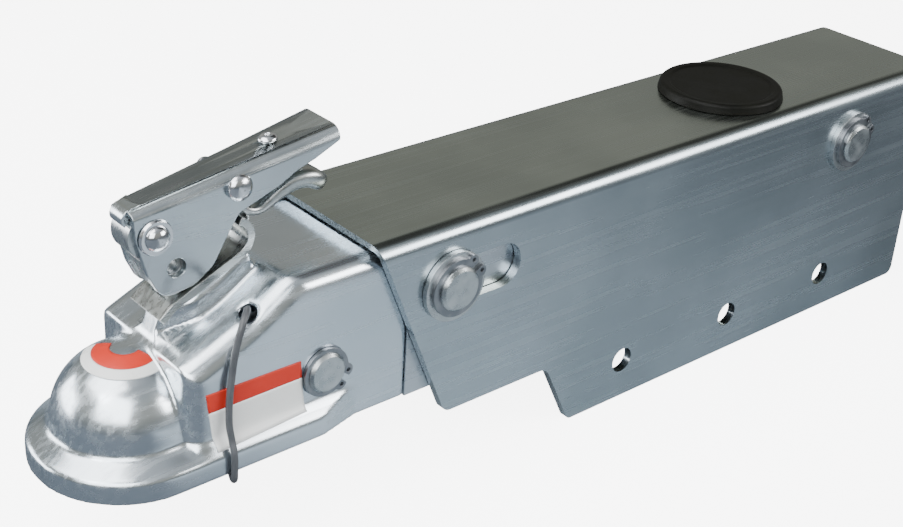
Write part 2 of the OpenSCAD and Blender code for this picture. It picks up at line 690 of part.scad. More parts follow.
// Forged bolt with a flat neck that the lock pin passes through, welded to an eye for the rivet
module latch_bolt() {
    neck = 27;
    color(bright) in_case() difference() {
        union() {
            on_latch(eye_r - 3) translate([-9.5, -7, 0]) cube([19, 14, neck - eye_r]);
            on_latch(neck - 3) cylinder(d1 = 17, d2 = latch_bolt_d, h = 4);
            on_latch(neck - 4) cylinder(d = latch_bolt_d, h = clamp_s + clamp_t + nut_t + 7 - neck);
        }
        y_rod(2 * eye_r, -half_w, half_w, pivot[0], pivot[1]);
        y_rod(lock_hole, -half_w, half_w, lock_at[0], lock_at[1]);
    }
}
module latch_eye() {
    color(bright) in_case() difference() {
        y_rod(2 * eye_r, -7, 7, pivot[0], pivot[1]);
        y_rod(latch_bolt_d + 0.1, -half_w, half_w, pivot[0], pivot[1]);
    }
}
// Depth under the pivot at which the shoulder's wall ends on the bolt's axis
shoulder_s = (-shoulder_x - pivot[0]) * down[0] + (-slide_drop - pivot[1]) * down[1] + head_wall;
module spring_seat() {
    color(zinc) in_case() on_latch(shoulder_s + 0.1) difference() {
        cylinder(d = 24, h = seat_t);
        translate([0, 0, -past]) cylinder(d = latch_bolt_d + 1, h = seat_t + 2 * past);
    }
}
module latch_spring() {
    wire = 2.6;
    from = shoulder_s + 0.2 + seat_t + wire / 2;
    color(spring_steel) in_case() on_latch(from)
        tube(helix(latch_bolt_d / 2 + 2.9, (clamp_s - 0.2 - wire / 2 - from) / 3, 3, 16), wire / 2, 8);
}
module ball_clamp() {
    s = clamp_s;
    color(dull_zinc) in_case() difference() {
        along_y(40) polygon(rounded([
            [at(s, -17)[0], at(s, -17)[1], 0], [at(s, 12)[0], at(s, 12)[1], 3],
            [at(s + clamp_t, 12)[0], at(s + clamp_t, 12)[1], 3],
            [at(s + clamp_t, -11.5)[0], at(s + clamp_t, -11.5)[1], 2],
            [-ball_reach + 38, 2.5 - slide_base, 4], [-ball_reach + 22, 2.5 - slide_base, 0]]));
        translate([-ball_reach, 0, -ball_drop]) sphere(d = ball_d + 0.8, $fn = 64);
        on_latch(s - 3) cylinder(d = latch_bolt_d + 0.2, h = clamp_t + 6);
    }
}
module clamp_nut() {
    color(bright) in_case() on_latch(clamp_s + clamp_t + 0.1) difference() {
        cylinder(d = latch_bolt_d * 1.75, h = nut_t, $fn = 6);
        translate([0, 0, -past]) cylinder(d = latch_bolt_d + 0.1, h = nut_t + 2 * past);
    }
}

// Folded handle: its side outline runs round the legs from the nose
handle_top = [[-110, 39], [-1.8, 49.5]];
handle_rise = atan2(handle_top[1][1] - handle_top[0][1], handle_top[1][0] - handle_top[0][0]);
cam_foot = keeper_drop - hair;
handle_side = rounded([
    [-110.5, 42, 0], [-1.8, 52, 0], [-1.8, 43.6, 4], [-15, 37.6, 8], [-24, 34.6, 8], [-33, 29.4, 8],
    [-44, 24.6, 10], [-53.5, 20.5, 8], [-60, 10, 8], [-66.5, -1.5, 8],
    [at(cam_foot, 5)[0], at(cam_foot, 5)[1], 8], [at(cam_foot - 3.6, -9.5)[0], at(cam_foot - 3.6, -9.5)[1], 8],
    [-100, 1.6, 10], [-109, 19.5, 8]
]);
nose_line = concat([[-100, 39.2], [-106, 38.6]], arc([-109.5, 33.2], 5.2, 80, 235, 9));
module latch_handle() {
    color(zinc) in_case() difference() {
        union() {
            intersection() {
                translate([handle_top[0][0], 0, handle_top[0][1]]) rotate([0, -handle_rise, 0])
                    along_x(-20, 130) difference() {
                        folded(handle_w, 4.5, 90);
                        translate([0, -handle_t]) folded(handle_w - 2 * handle_t, 1.5, 90);
                    }
                along_y(handle_w + 2) polygon(handle_side);
            }
            along_y(handle_w - 8) polygon(strip(nose_line, handle_t - 0.4));
        }
        y_rod(latch_bolt_d + 0.1, -half_w, half_w, pivot[0], pivot[1]);
        y_rod(trigger_rivet_d + 0.1, -half_w, half_w, -trigger_x, trigger_rise);
        y_rod(lock_hole, -half_w, half_w, lock_at[0], lock_at[1]);
        translate([-30, 0, 46.6]) rotate([0, -handle_rise, 0]) translate([0, 0, -7]) cylinder(d = 5.2, h = 12);
    }
}
// A rivet across the handle with a washer and a domed head on each side
module rivet(d, half, washer, head, x, z) {
    translate([x, 0, z]) {
        y_rod(d, -half, half, 0, 0);
        both_sides() translate([0, half, 0]) rotate([-90, 0, 0]) {
            cylinder(d = washer, h = 1.4);
            translate([0, 0, 1.4]) rotate_extrude() polygon(concat([[0, 0]],
                [for (i = [0:6]) [head / 2 * cos(15 * i), head * 0.3 * sin(15 * i)]]));
        }
    }
}
module handle_rivet() {
    color(bright) in_case() rivet(latch_bolt_d, handle_w / 2 + 0.05, 17, 13, pivot[0], pivot[1]);
}
module handle_stud() {
    color(bright) in_case() translate([-30, 0, 46.6]) rotate([0, -handle_rise, 0]) {
        rotate_extrude() polygon([[0, -5], [4, -5], [4, -3.4], [2.4, -3.4], [2.4, 0.3],
            [4.8, 0.3], [4.5, 1.5], [3.2, 2.5], [1.4, 2.8], [1.2, 1.6], [0, 1.6]]);
    }
}
trigger_line = concat([[-trigger_x + 5.5, trigger_rise - 6.5]],
    [[-45.5, 22.5], [-42, 20.4], [-38, 20.3], [-33, 22.2], [-28, 24.2], [-22, 25.4], [-16, 25], [-9, 22.6], [-3, 19.2]]);
module trigger() {
    eye_r = trigger_rivet_d / 2 + 3.2;
    color(dull_zinc) in_case() difference() {
        union() {
            y_rod(2 * eye_r, -9.5, 2.5, -trigger_x, trigger_rise);
            translate([0, -3.5, 0]) along_y(12) polygon([[-trigger_x + 2, trigger_rise - 7.2], [-trigger_x + 7, trigger_rise - 3],
                [-43, 23.4], [-44, 19.6], [-47, 21.2]]);
            along_y(15) polygon(strip(trigger_line, 3));
            translate([-2.6, 0, 19]) rotate([0, 28, 0]) cylinder(d = 15, h = 3, center = true);
            along_y(8) polygon([[-42, 21], [-38.6, 21], [-38.2, 0], [-41.6, -1.5], [-42.6, 1.5], [-41.4, 4]]);
        }
        y_rod(trigger_rivet_d + 0.2, -half_w, half_w, -trigger_x, trigger_rise);
    }
}
module trigger_rivet() {
    color(bright) in_case() rivet(trigger_rivet_d, handle_w / 2 + 0.05, 11, 12.5, -trigger_x, trigger_rise);
}
module trigger_spring() {
    wire = 1.5;
    color(spring_steel) in_case() translate([-trigger_x, 3.6, trigger_rise]) rotate([-90, 0, 0])
        tube(helix(trigger_rivet_d / 2 + 1.5, 1.7, 3.5, 12), wire / 2, 6);
}

// Breakaway lever, and the cable with its stowed coil and end ring
module breakaway_lever() {
    hub = cross_d + 13;
    eye = [-cross_x - 8, 30 - rod_drop];
    t = lever_y[1] - lever_y[0];
    color(dull_zinc) in_case() difference() {
        union() {
            y_rod(hub, lever_y[0], lever_y[1], -cross_x, -rod_drop);
            y_rod(11.4, lever_y[0], lever_y[1], eye[0], eye[1]);
            translate([0, lever_y[0] + t / 2, 0]) along_y(t) {
                polygon([eye + [-5.5, 1], [-cross_x - 14, -rod_drop + 6], [-cross_x + 13, -rod_drop + 8], eye + [5.2, 2.4]]);
                polygon([[-cross_x - 6, -rod_drop - 14], [-cross_x + 6, -rod_drop - 21.4],
                    [-cross_x + 10.6, -rod_drop - 19.5], [-cross_x + 14.5, -rod_drop - 6]]);
            }
        }
        y_rod(cross_d + 0.1, -half_w, half_w, -cross_x, -rod_drop);
        y_rod(cable_d + 0.6, -half_w, half_w, eye[0], eye[1]);
    }
}
module breakaway_cable() {
    color(black) in_case() {
        tube(smooth(cable_route, 2), cable_r, 8, [0.5, -0.5, 0.7]);
        y_rod(cable_d + 2.6, lever_y[1] + 0.1, lever_y[1] + 4, cable_route[0][0], cable_route[0][2]);
    }
}
module cable_coil() {
    color(black) in_case() translate([-cross_x, coil_y[0], -rod_drop - coil_drop]) rotate([-90, 0, 0]) difference() {
        cylinder(r = coil_out, h = coil_y[1] - coil_y[0]);
        translate([0, 0, -past]) cylinder(r = coil_in, h = coil_y[1] - coil_y[0] + 2 * past);
    }
}
module cable_hook() {
    wire = 1.5;
    ring_r = cross_d / 2 + wire + 1.2;
    color(bright) in_case() translate([-cross_x, -15.4, -rod_drop - 1.1]) {
        rotate([90, 0, 0]) rotate_extrude() translate([ring_r, 0]) circle(wire, $fn = 24);
        translate([ring_r + 1, 0, -6]) cylinder(d = 5, h = 11);
    }
}

outer_case();
case_near_side();
case_far_side();
inner_bracket();
access_cap();
slide_channel();
coupler_head();
front_pin();
front_washers();
front_rings();
rear_pin();
rear_washers();
rear_rings();
cross_pin();
cross_rings();
push_rod();
piston();
piston_cup();
return_spring();
stop_ring();
master_cylinder();
cylinder_screws();
reservoir_cap();
outlet_fitting();
damper_body();
damper_rod();
damper_pin();
latch_keeper();
latch_bolt();
latch_eye();
spring_seat();
latch_spring();
ball_clamp();
clamp_nut();
latch_handle();
handle_rivet();
handle_stud();
trigger();
trigger_rivet();
trigger_spring();
breakaway_lever();
breakaway_cable();
cable_coil();
cable_hook();
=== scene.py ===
import json
import math

import bmesh
import bpy
from mathutils import Matrix, Vector
from mathutils.bvhtree import BVHTree


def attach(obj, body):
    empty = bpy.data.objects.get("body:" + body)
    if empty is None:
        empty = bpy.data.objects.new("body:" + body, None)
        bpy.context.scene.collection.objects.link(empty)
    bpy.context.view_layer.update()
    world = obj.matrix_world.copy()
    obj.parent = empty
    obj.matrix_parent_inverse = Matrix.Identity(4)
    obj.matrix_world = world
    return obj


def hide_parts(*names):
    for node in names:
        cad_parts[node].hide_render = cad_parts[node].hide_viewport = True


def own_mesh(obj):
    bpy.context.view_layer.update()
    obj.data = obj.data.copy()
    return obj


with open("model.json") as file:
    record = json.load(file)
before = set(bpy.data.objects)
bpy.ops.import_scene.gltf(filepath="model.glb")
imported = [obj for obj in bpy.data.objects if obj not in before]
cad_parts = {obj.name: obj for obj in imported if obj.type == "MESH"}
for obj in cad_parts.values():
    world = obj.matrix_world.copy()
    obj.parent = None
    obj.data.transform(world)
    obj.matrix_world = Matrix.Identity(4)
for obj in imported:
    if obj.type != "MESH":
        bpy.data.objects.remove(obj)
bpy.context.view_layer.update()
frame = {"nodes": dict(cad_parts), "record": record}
nodes = frame["nodes"]
scene = bpy.context.scene

# Where the front edge of the case's top lies in the row's metres
CASE_FRONT_X = -0.259
CASE_TOP_Z = 0.118

# Places that several pieces share, in millimetres from that edge: x to the rear, y to the far side, z up
PIVOT = (-93.6, 19)
TRIGGER_AXIS = (-54, 33)
CROSS_PIN = (-26, -58.7)
CABLE_HOLE = (-34, -26)
DOME_CENTRE = (-105, 0, -69)
PISTON_SEAT = (262.9, 0, -56)

ALONG_X = (1, 0, 0)
ALONG_Y = (0, 1, 0)


def at(x, y, z):
    """A point of the drawing, in millimetres from the front edge of the case's top, in the row's metres."""
    return Vector((x / 1000 + CASE_FRONT_X, y / 1000, z / 1000 + CASE_TOP_Z))


# Camera, at the photograph's viewing angle
CAMERA_PLACE = Vector((-0.64906, -0.52041, 0.44103))
CAMERA_AZIMUTH = -42.26
CAMERA_ELEVATION = 28.02
CAMERA_ROLL = 3.75
CAMERA_LENS = 62.35


def add_camera():
    azimuth, elevation = math.radians(CAMERA_AZIMUTH), math.radians(CAMERA_ELEVATION)
    roll = math.radians(CAMERA_ROLL)
    flat = math.cos(elevation)
    back = Vector((math.sin(azimuth) * flat, -math.cos(azimuth) * flat, math.sin(elevation)))
    level = Vector((math.cos(azimuth), math.sin(azimuth), 0))
    rise = back.cross(level)
    right = math.cos(roll) * level + math.sin(roll) * rise
    up = -math.sin(roll) * level + math.cos(roll) * rise
    data = bpy.data.cameras.new("photo_camera")
    data.lens = CAMERA_LENS
    data.sensor_width = 36
    data.sensor_fit = "HORIZONTAL"
    data.dof.use_dof = False
    camera = bpy.data.objects.new("photo_camera", data)
    turn = Matrix((right, up, back)).transposed().to_4x4()
    camera.matrix_world = Matrix.Translation(CAMERA_PLACE) @ turn
    scene.collection.objects.link(camera)
    scene.camera = camera


add_camera()

# The route of the breakaway cable, a free cord, from its ferrule in the shoulder to the cross pin
CABLE_D = 0.0032
CABLE_ROUTE = [
    (-34, -5, -26), (-34, -9.5, -26), (-34.6, -13.8, -26), (-39, -17, -26), (-47, -20, -26),
    (-54.5, -24, -25), (-60, -28.5, -20.5), (-63.5, -33, -14.5), (-67.5, -38, -13), (-71.5, -41.2, -16),
    (-74.5, -42, -23), (-76.5, -42, -32), (-78, -42, -42), (-79, -42, -52), (-79.5, -42.5, -62),
    (-79.5, -44.5, -69.5), (-80, -47.2, -75.5), (-80, -47.3, -84), (-79.6, -46.3, -89.2),
    (-78, -42.4, -91), (-76, -37.8, -89.2), (-73, -33.8, -84), (-66, -31, -80.8),
    (-56, -29, -80.3), (-46, -26, -80.2), (-38, -22.6, -79.8), (-32, -20.4, -78.6),
]
# Its stowed turns: radii of the outer and inner layer, where they begin and end along the pin, and the hook
TURNS = 3
STEPS_A_TURN = 22
OUTER_LAYER, INNER_LAYER = 17.6, 14.4
LAYER_NEAR, LAYER_FAR, INNER_END = -19.8, -30, -19.7
HOOK_X, HOOK_Y = -12.3, -15.4


def through(points, k):
    """A smooth line through the points, with k steps between each two."""
    out = []
    last = len(points) - 1
    for i in range(last):
        a, b = points[max(i - 1, 0)], points[i]
        c, d = points[i + 1], points[min(i + 2, last)]
        for j in range(k):
            t = j / k
            out.append(0.5 * (2 * b + (c - a) * t + (2 * a - 5 * b + 4 * c - d) * t * t
                              + (3 * b - a - 3 * c + d) * t * t * t))
    out.append(points[last])
    return out


def arc(start, sweep, radii, along, steps, first=1):
    """Part of a turn round the cross pin, between two radii and between two places along the pin."""
    (r0, r1), (y0, y1) = radii, along
    out = []
    for i in range(first, steps + 1):
        t = i / steps
        a = math.radians(start + sweep * t)
        r = r0 + (r1 - r0) * t
        y = y0 + (y1 - y0) * t
        out.append(Vector((CROSS_PIN[0] + r * math.cos(a), y, CROSS_PIN[1] + r * math.sin(a))))
    return out


def cable_path():
    """From the ferrule, over the shoulder and the lip, and round the cross pin in two layers to the hook."""
    outer, inner = (OUTER_LAYER, OUTER_LAYER), (INNER_LAYER, INNER_LAYER)
    path = through([Vector(p) for p in CABLE_ROUTE], 6)
    path += arc(-78, TURNS * 360 - 12, outer, (LAYER_NEAR, LAYER_FAR), TURNS * STEPS_A_TURN, 0)
    path += arc(-90, 180, (OUTER_LAYER, INNER_LAYER), (LAYER_FAR, LAYER_FAR), 11)
    path += arc(90, TURNS * 360, inner, (LAYER_FAR, INNER_END), TURNS * STEPS_A_TURN)
    path += arc(90, 90, inner, (INNER_END, INNER_END), 6)
    path += arc(180, 145, (INNER_LAYER, 17), (INNER_END, HOOK_Y), 12)
    path += [Vector((HOOK_X, HOOK_Y, z)) for z in (-66, -63.5, -60.5)]
    return path


def cord_curve(name, points, diameter):
    data = bpy.data.curves.new(name, "CURVE")
    data.dimensions = "3D"
    data.bevel_depth = diameter / 2
    data.bevel_resolution = 3
    data.use_fill_caps = True
    line = data.splines.new("POLY")
    line.points.add(len(points) - 1)
    for slot, p in zip(line.points, points):
        slot.co = (*at(*p), 1)
    obj = bpy.data.objects.new(name, data)
    scene.collection.objects.link(obj)
    return obj


# Small makers of shader nodes
def link_all(tree, pairs):
    for source, target in pairs:
        tree.links.new(source, target)


def set_or_link(tree, value, socket):
    if hasattr(value, "is_linked"):
        tree.links.new(value, socket)
    else:
        socket.default_value = value


def maths(tree, operation, a, b, clamp=False):
    node = tree.nodes.new("ShaderNodeMath")
    node.operation = operation
    node.use_clamp = clamp
    set_or_link(tree, a, node.inputs[0])
    set_or_link(tree, b, node.inputs[1])
    return node.outputs[0]


def weighted_sum(tree, *terms, clamp=False):
    """The sum of (value, weight) terms."""
    total = maths(tree, "MULTIPLY", *terms[0])
    for term in terms[1:]:
        total = maths(tree, "ADD", total, maths(tree, "MULTIPLY", *term), clamp and term is terms[-1])
    return total


def spread(tree, value, low, high, to_low=0.0, to_high=1.0, smooth=True):
    """The value stretched from low..high to to_low..to_high."""
    node = tree.nodes.new("ShaderNodeMapRange")
    node.interpolation_type = "SMOOTHSTEP" if smooth else "LINEAR"
    for label, part in (("Value", value), ("From Min", low), ("From Max", high),
                        ("To Min", to_low), ("To Max", to_high)):
        set_or_link(tree, part, node.inputs[label])
    return node.outputs["Result"]


def noise(tree, place, scale, detail, stretch=(1, 1, 1), seed=0.0):
    shift = tree.nodes.new("ShaderNodeMapping")
    shift.inputs["Scale"].default_value = stretch
    shift.inputs["Location"].default_value = (seed, seed * 0.7, seed * 1.3)
    tree.links.new(place, shift.inputs["Vector"])
    node = tree.nodes.new("ShaderNodeTexNoise")
    node.inputs["Detail"].default_value = detail
    set_or_link(tree, scale, node.inputs["Scale"])
    tree.links.new(shift.outputs["Vector"], node.inputs["Vector"])
    return node.outputs["Fac"]


def blend_colours(tree, factor, a, b, how="MIX"):
    node = tree.nodes.new("ShaderNodeMix")
    node.data_type = "RGBA"
    node.blend_type = how
    for socket, value in ((0, factor), (6, a), (7, b)):
        set_or_link(tree, value, node.inputs[socket])
    return node.outputs[2]


def for_camera(tree, shown, mirrored, out):
    """Surface or world that the camera sees as one shader and every other ray as another."""
    rays = tree.nodes.new("ShaderNodeLightPath")
    mix = tree.nodes.new("ShaderNodeMixShader")
    link_all(tree, [(rays.outputs["Is Camera Ray"], mix.inputs[0]), (mirrored.outputs[0], mix.inputs[1]),
                    (shown.outputs[0], mix.inputs[2]), (mix.outputs[0], out.inputs["Surface"])])


# Shared effects
class SkinGroup:
    """A shader group with a light and a dark tone, a range of roughness, and its own further inputs."""

    def __init__(self, name, further=()):
        self.tree = bpy.data.node_groups.new(name, "ShaderNodeTree")
        inputs = [("Color", "Light"), ("Color", "Dark"), *further,
                  ("Float", "Rough Low"), ("Float", "Rough High")]
        outputs = [("Color", "Colour"), ("Float", "Roughness"), ("Float", "Height")]
        for way, sockets in (("INPUT", inputs), ("OUTPUT", outputs)):
            for kind, label in sockets:
                self.tree.interface.new_socket(label, in_out=way, socket_type="NodeSocket" + kind)
        self.inside = self.tree.nodes.new("NodeGroupInput").outputs
        self.out = self.tree.nodes.new("NodeGroupOutput").inputs
        self.place = self.tree.nodes.new("ShaderNodeTexCoord")
        self.spot = self.place.outputs["Object"]

    def tones(self, mixed):
        return blend_colours(self.tree, mixed, self.inside["Dark"], self.inside["Light"])

    def close(self, colour, wear, height):
        rough = spread(self.tree, wear, 0.2, 0.8, self.inside["Rough Low"], self.inside["Rough High"],
                       smooth=False)
        link_all(self.tree, [(colour, self.out["Colour"]), (rough, self.out["Roughness"]),
                             (height, self.out["Height"])])
        return self.tree


def plating_group():
    """Bright zinc: cloudy patches, rolling streaks, fine grain, and a painted reflection tint on faces that
    look up.
    """
    group = SkinGroup("zinc_plating", [("Color", "Top Tone"), ("Float", "Patch Scale"), ("Float", "Streaks")])
    tree, inside, spot = group.tree, group.inside, group.spot
    patches = spread(tree, noise(tree, spot, inside["Patch Scale"], 5.0), 0.36, 0.66)
    streaks = spread(tree, noise(tree, spot, 1.0, 4.0, (7, 420, 300), 3.1), 0.34, 0.68)
    grain = noise(tree, spot, 1500.0, 2.0, seed=5.7)
    cloud = noise(tree, spot, 7.0, 2.0, (1, 1.6, 1.6), 8.2)
    mixed = weighted_sum(tree, (patches, 0.5), (streaks, inside["Streaks"]), (grain, 0.12), (cloud, 0.3),
                         clamp=True)
    colour = group.tones(mixed)
    parts = tree.nodes.new("ShaderNodeSeparateXYZ")
    tree.links.new(group.place.outputs["Normal"], parts.inputs[0])
    # Faces that look up are multiplied by the top tint, a painted reflection of the room above them
    painted_reflection_mask = spread(tree, parts.outputs["Z"], 0.72, 0.97)
    painted_reflection_colour = blend_colours(tree, 1.0, colour, inside["Top Tone"], "MULTIPLY")
    wear = weighted_sum(tree, (streaks, 0.5), (cloud, 0.5))
    height = weighted_sum(tree, (cloud, 1.0), (streaks, 0.05), (grain, 0.03))
    return group.close(blend_colours(tree, painted_reflection_mask, colour, painted_reflection_colour), wear, height)


def cast_group():
    """Cast or moulded skin: fine pits and a faint cloud."""
    group = SkinGroup("cast_skin", [("Float", "Grain Scale")])
    tree, spot = group.tree, group.spot
    grain = noise(tree, spot, group.inside["Grain Scale"], 3.0)
    cloud = spread(tree, noise(tree, spot, 60.0, 4.0, seed=2.3), 0.3, 0.7)
    mixed = weighted_sum(tree, (grain, 0.4), (cloud, 0.6), clamp=True)
    return group.close(group.tones(mixed), mixed, grain)


def turned_group():
    """Turned or drawn steel: rings or lines too fine to count, and a few light rubs."""
    group = SkinGroup("turned_steel")
    tree, spot = group.tree, group.spot
    lines = noise(tree, spot, 1.0, 3.0, (1400, 60, 1400))
    rubs = spread(tree, noise(tree, spot, 130.0, 5.0, seed=4.4), 0.35, 0.7)
    mixed = weighted_sum(tree, (lines, 0.35), (rubs, 0.65), clamp=True)
    return group.close(group.tones(mixed), mixed, lines)


PLATING, CAST, TURNED = plating_group(), cast_group(), turned_group()
MADE = {}


def finish_material(name, group, settings, metallic=1.0, bump=0.0002, edge=0.0007, **shader):
    """A material from one of the shared groups; edge is the radius that its sharp edges seem to have."""
    material = bpy.data.materials.new(name)
    material.use_nodes = True
    tree = material.node_tree
    tree.nodes.clear()
    out = tree.nodes.new("ShaderNodeOutputMaterial")
    main = tree.nodes.new("ShaderNodeBsdfPrincipled")
    main.inputs["Metallic"].default_value = metallic
    for label, value in shader.items():
        main.inputs[label.replace("_", " ")].default_value = value
    skin = tree.nodes.new("ShaderNodeGroup")
    skin.node_tree = group
    for label, value in settings.items():
        skin.inputs[label].default_value = value
    relief = tree.nodes.new("ShaderNodeBump")
    relief.inputs["Distance"].default_value = bump
    relief.inputs["Strength"].default_value = 0.4
    if edge:
        soft_edge = tree.nodes.new("ShaderNodeBevel")
        soft_edge.samples = 4
        soft_edge.inputs["Radius"].default_value = edge
        tree.links.new(soft_edge.outputs[0], relief.inputs["Normal"])
    link_all(tree, [(skin.outputs["Height"], relief.inputs["Height"]),
                    (skin.outputs["Colour"], main.inputs["Base Color"]),
                    (skin.outputs["Roughness"], main.inputs["Roughness"]),
                    (relief.outputs["Normal"], main.inputs["Normal"]),
                    (main.outputs[0], out.inputs["Surface"])])
    MADE[name] = material


def tones(light, dark, rough):
    """The settings that every shared group takes."""
    return {"Light": (*light, 1.0), "Dark": (*dark, 1.0), "Rough Low": rough[0], "Rough High": rough[1]}


def zinc(name, light, dark, top, patch, streaks, rough, **more):
    settings = tones(light, dark, rough)
    # top is the painted reflection tint that faces looking up are multiplied by
    settings.update({"Top Tone": (*top, 1.0), "Patch Scale": patch, "Streaks": streaks})
    finish_material(name, PLATING, settings, **more)


def turned(name, light, dark, rough, **more):
    finish_material(name, TURNED, tones(light, dark, rough), bump=0.00002, **more)


def cast(name, light, dark, grain, rough, **more):
    finish_material(name, CAST, {**tones(light, dark, rough), "Grain Scale": grain}, **more)


# Plated steel: light tone, dark tone, painted reflection tint of faces that look up, patches to the metre,
# streaks, roughness
# case_zinc and head_zinc are the same zinc: the head's tones are set lighter, as painted light, and the
# case's darker, as painted shade
zinc("case_zinc", (0.50, 0.56, 0.60), (0.34, 0.39, 0.42), (0.92, 0.89, 0.76), 12.0, 0.16, (0.20, 0.32),
     edge=0)
zinc("slide_zinc", (0.58, 0.62, 0.66), (0.42, 0.45, 0.48), (0.9, 0.9, 0.85), 22.0, 0.2, (0.22, 0.36))
zinc("head_zinc", (0.78, 0.83, 0.87), (0.56, 0.63, 0.69), (0.98, 0.98, 0.98), 16.0, 0.08, (0.17, 0.30),
     bump=0.0001, edge=0)
zinc("handle_zinc", (0.70, 0.75, 0.78), (0.52, 0.57, 0.60), (0.92, 0.91, 0.86), 30.0, 0.1, (0.18, 0.30))
zinc("keeper_zinc", (0.56, 0.58, 0.57), (0.38, 0.40, 0.40), (0.9, 0.9, 0.86), 50.0, 0.1, (0.22, 0.36))
zinc("hardware_zinc", (0.58, 0.61, 0.62), (0.42, 0.44, 0.45), (1, 1, 1), 70.0, 0.1, (0.24, 0.36), edge=0.0004)
zinc("raw_steel", (0.50, 0.51, 0.50), (0.34, 0.35, 0.35), (1, 1, 1), 30.0, 0.4, (0.36, 0.55))

# Turned and drawn metal: light tone, dark tone, roughness
turned("pin_steel", (0.60, 0.63, 0.64), (0.40, 0.43, 0.44), (0.24, 0.4))
turned("bright_steel", (0.84, 0.85, 0.87), (0.66, 0.67, 0.70), (0.12, 0.24), edge=0.0003)
turned("rod_steel", (0.66, 0.68, 0.70), (0.50, 0.52, 0.54), (0.16, 0.3))
turned("spring_steel", (0.34, 0.35, 0.37), (0.20, 0.21, 0.23), (0.28, 0.42), edge=0.0003)
turned("piston_aluminium", (0.76, 0.77, 0.78), (0.62, 0.63, 0.64), (0.24, 0.38))
turned("fitting_brass", (0.78, 0.60, 0.27), (0.58, 0.42, 0.17), (0.2, 0.34))

# Castings, paint, rubber, plastic and stickers: light tone, dark tone, grains to the metre, roughness
cast("cylinder_iron", (0.19, 0.195, 0.20), (0.10, 0.105, 0.11), 700.0, (0.42, 0.62), metallic=0.6)
cast("clamp_iron", (0.40, 0.40, 0.39), (0.24, 0.24, 0.23), 600.0, (0.34, 0.52))
cast("damper_paint", (0.045, 0.045, 0.05), (0.025, 0.025, 0.028), 300.0, (0.24, 0.36), metallic=0.0,
     Coat_Weight=0.3)
cast("black_rubber", (0.006, 0.006, 0.004), (0.003, 0.003, 0.0025), 1400.0, (0.42, 0.56), metallic=0.0,
     bump=0.00008, Specular_IOR_Level=0.12)
cast("black_plastic", (0.035, 0.035, 0.036), (0.018, 0.018, 0.019), 1000.0, (0.34, 0.48), metallic=0.0,
     bump=0.00008)
cast("cable_jacket", (0.10, 0.105, 0.115), (0.045, 0.048, 0.052), 1600.0, (0.36, 0.5), metallic=0.0,
     edge=0, bump=0.00005)
cast("label_white", (0.90, 0.90, 0.88), (0.82, 0.82, 0.80), 900.0, (0.26, 0.36), metallic=0.0,
     edge=0, bump=0.00002)
cast("label_orange", (0.62, 0.035, 0.018), (0.54, 0.028, 0.014), 900.0, (0.34, 0.44), metallic=0.0,
     edge=0, bump=0.00002, Specular_IOR_Level=0.3)

for part in frame["record"]["subparts"]:
    node = nodes[part["node"]]
    if not node.data.materials:
        node.data.materials.append(None)
    for slot in node.material_slots:
        slot.material = MADE[part["material_slot"]]


# Ways to set down a piece
def set_down(name, mesh, body, slot, matrix=None):
    """Makes a piece of a mesh, moved by the matrix, that rides on a body."""
    mesh.name = name
    if matrix:
        mesh.transform(matrix)
    obj = bpy.data.objects.new(name, mesh)
    scene.collection.objects.link(obj)
    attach(obj, body)
    return obj


def piece(name, points, faces, body, material, slot=None):
    mesh = bpy.data.meshes.new(name)
    mesh.from_pydata([tuple(p) for p in points], [], faces)
    mesh.validate()
    mesh.update()
    for face in mesh.polygons:
        face.use_smooth = True
    mesh.materials.append(MADE[material])
    return set_down(name, mesh, body, slot or material)


def frame_at(origin, x_axis, z_axis):
    """The turn and place that put a piece's own X and Z along these axes, at a point of the drawing."""
    z = Vector(z_axis).normalized()
    x = Vector(x_axis)
    x = (x - z * x.dot(z)).normalized()
    turn = Matrix((x, z.cross(x), z)).transposed().to_4x4()
    return Matrix.Translation(at(*origin)) @ turn


def evaluated_mesh(holder):
    """The plain mesh that a helper object's modifiers make; the helper goes."""
    bpy.context.view_layer.update()
    ready = holder.evaluated_get(bpy.context.evaluated_depsgraph_get())
    mesh = bpy.data.meshes.new_from_object(ready)
    bpy.data.objects.remove(holder)
    return mesh


def helper(mesh):
    holder = bpy.data.objects.new("maker", mesh)
    scene.collection.objects.link(holder)
    return holder


# Geometry nodes for what is wound or laid in rows
class GrownGroup:
    """A node group that makes geometry in one material from named inputs."""

    def __init__(self, name, inputs):
        self.tree = bpy.data.node_groups.new(name, "GeometryNodeTree")
        for kind, label, value in inputs:
            socket = self.tree.interface.new_socket(label, in_out="INPUT", socket_type="NodeSocket" + kind)
            socket.default_value = value
        self.tree.interface.new_socket("Material", in_out="INPUT", socket_type="NodeSocketMaterial")
        self.tree.interface.new_socket("Geometry", in_out="OUTPUT", socket_type="NodeSocketGeometry")
        self.inside = self.tree.nodes.new("NodeGroupInput").outputs
        self.out = self.tree.nodes.new("NodeGroupOutput")

    def add(self, kind):
        return self.tree.nodes.new(kind)

    def close(self, geometry):
        real = self.add("GeometryNodeRealizeInstances")
        paint = self.add("GeometryNodeSetMaterial")
        link_all(self.tree, [(geometry, real.inputs[0]), (real.outputs[0], paint.inputs["Geometry"]),
                             (self.inside["Material"], paint.inputs["Material"]),
                             (paint.outputs[0], self.out.inputs["Geometry"])])
        return self.tree

    @staticmethod
    def grow(tree, settings):
        """The plain mesh that a finished group makes with these settings."""
        holder = helper(bpy.data.meshes.new("maker"))
        modifier = holder.modifiers.new("maker", "NODES")
        modifier.node_group = tree
        for socket in tree.interface.items_tree:
            if socket.in_out == "INPUT" and socket.name in settings:
                modifier[socket.identifier] = settings[socket.name]
        return evaluated_mesh(holder)


